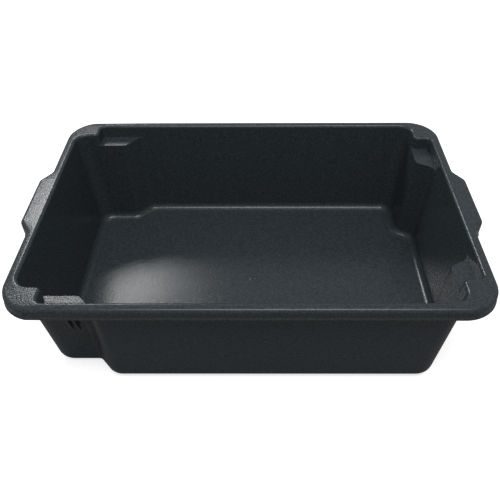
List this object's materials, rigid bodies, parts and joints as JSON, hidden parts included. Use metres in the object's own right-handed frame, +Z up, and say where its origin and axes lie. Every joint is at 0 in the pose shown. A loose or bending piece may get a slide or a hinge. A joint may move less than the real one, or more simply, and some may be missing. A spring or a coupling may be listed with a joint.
{
  "type": "paint tub",
  "caption": "Deep rectangular black plastic paint tub with a flat floor, flat turned-down rim, end handles and corner ledges for stacking and nesting.",
  "frame": {"origin": "on the surface it stands on, under the centre of the rim", "axes": "+X along the long side towards the end with the narrow corner posts, +Y towards the back long side, +Z up"},
  "size_m": [0.44, 0.29, 0.117],
  "materials": {
    "black_plastic": "black moulded polypropylene with a fine satin grain"
  },
  "bodies": {
    "root": {"corner_post_back_left": "black_plastic", "corner_post_back_right": "black_plastic", "corner_post_front_left": "black_plastic", "corner_post_front_right": "black_plastic", "floor_pan": "black_plastic", "handle_left": "black_plastic", "handle_right": "black_plastic", "nest_rib_back_left_1": "black_plastic", "nest_rib_back_left_2": "black_plastic", "nest_rib_back_right_1": "black_plastic", "nest_rib_back_right_2": "black_plastic", "nest_rib_front_left_1": "black_plastic", "nest_rib_front_left_2": "black_plastic", "nest_rib_front_right_1": "black_plastic", "nest_rib_front_right_2": "black_plastic", "rim_back": "black_plastic", "rim_corner_back_left": "black_plastic", "rim_corner_back_right": "black_plastic", "rim_corner_front_left": "black_plastic", "rim_corner_front_right": "black_plastic", "rim_front": "black_plastic", "rim_left": "black_plastic", "rim_right": "black_plastic", "stacking_ledge_back_left": "black_plastic", "stacking_ledge_back_right": "black_plastic", "stacking_ledge_front_left": "black_plastic", "stacking_ledge_front_right": "black_plastic", "wall_back": "black_plastic", "wall_front": "black_plastic", "wall_left": "black_plastic", "wall_right": "black_plastic"}
  },
  "joints": []
}
